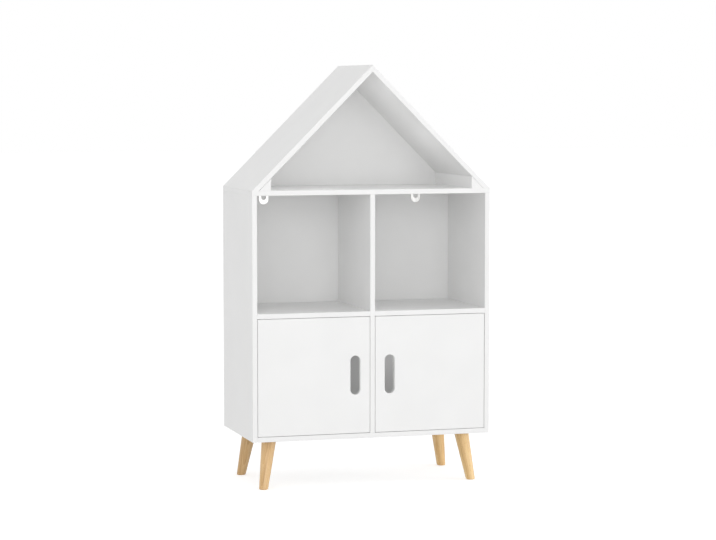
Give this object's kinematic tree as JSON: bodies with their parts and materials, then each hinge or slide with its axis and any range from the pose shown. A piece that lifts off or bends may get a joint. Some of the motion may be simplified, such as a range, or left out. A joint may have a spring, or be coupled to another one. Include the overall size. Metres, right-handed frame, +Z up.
{
  "type": "house shaped bookcase",
  "caption": "House-shaped bookcase with an open attic under a pitched roof, open compartments, cupboards with pivoting doors, and splayed tapered legs.",
  "frame": {"origin": "on the floor, under the middle of the carcass", "axes": "+Z up, the doors face -Y, +X to the right of a person facing the doors"},
  "size_m": [0.6, 0.3, 1.024],
  "materials": {
    "white_board": "white satin paint on medium density fibreboard",
    "beech": "beech under clear satin lacquer",
    "steel": "zinc plated",
    "plated_steel": "bright nickel plate on steel",
    "nylon": "white nylon",
    "brass": "plain",
    "magnet": "ferrite block between steel pole plates"
  },
  "bodies": {
    "carcass": {"left_side_panel": "white_board", "right_side_panel": "white_board", "bottom_board": "white_board", "eaves_board": "white_board", "centre_divider": "white_board", "left_middle_shelf": "white_board", "right_middle_shelf": "white_board", "left_roof_panel": "white_board", "right_roof_panel": "white_board", "left_corner_block": "white_board", "right_corner_block": "white_board", "lower_back_panel": "white_board", "attic_back_panel": "white_board", "left_door_bushes": "nylon", "right_door_bushes": "nylon", "left_catch_housing": "nylon", "right_catch_housing": "nylon", "left_catch_magnet": "magnet", "right_catch_magnet": "magnet", "front_left_leg": "beech", "front_right_leg": "beech", "rear_left_leg": "beech", "rear_right_leg": "beech", "leg_dowels": "beech", "end_dowels": "beech", "divider_dowels": "beech", "block_dowels": "beech", "apex_dowels": "beech", "leg_insert_nuts": "brass", "left_wall_bracket": "plated_steel", "right_wall_bracket": "plated_steel", "catch_screws": "steel", "leg_bolts": "steel", "bracket_screws": "steel", "side_cam_bolts": "steel", "divider_cam_bolts": "steel", "cam_locks": "steel", "eaves_screws": "steel", "divider_screws": "steel", "block_screws": "steel", "back_panel_screws": "steel"},
    "left_door_assembly": {"left_door": "white_board", "left_door_hinge_pins": "steel", "left_strike_plate": "steel", "left_strike_screw": "steel"},
    "right_door_assembly": {"right_door": "white_board", "right_door_hinge_pins": "steel", "right_strike_plate": "steel", "right_strike_screw": "steel"}
  },
  "joints": [
    {"name": "left_door_hinge", "type": "hinge", "parent": "carcass", "child": "left_door_assembly", "pos_m": [-0.272, -0.144, 0.2745], "axis": [0, 0, -1], "range_deg": [0, 135]},
    {"name": "right_door_hinge", "type": "hinge", "parent": "carcass", "child": "right_door_assembly", "pos_m": [0.272, -0.144, 0.2745], "axis": [0, 0, 1], "range_deg": [0, 135]}
  ]
}
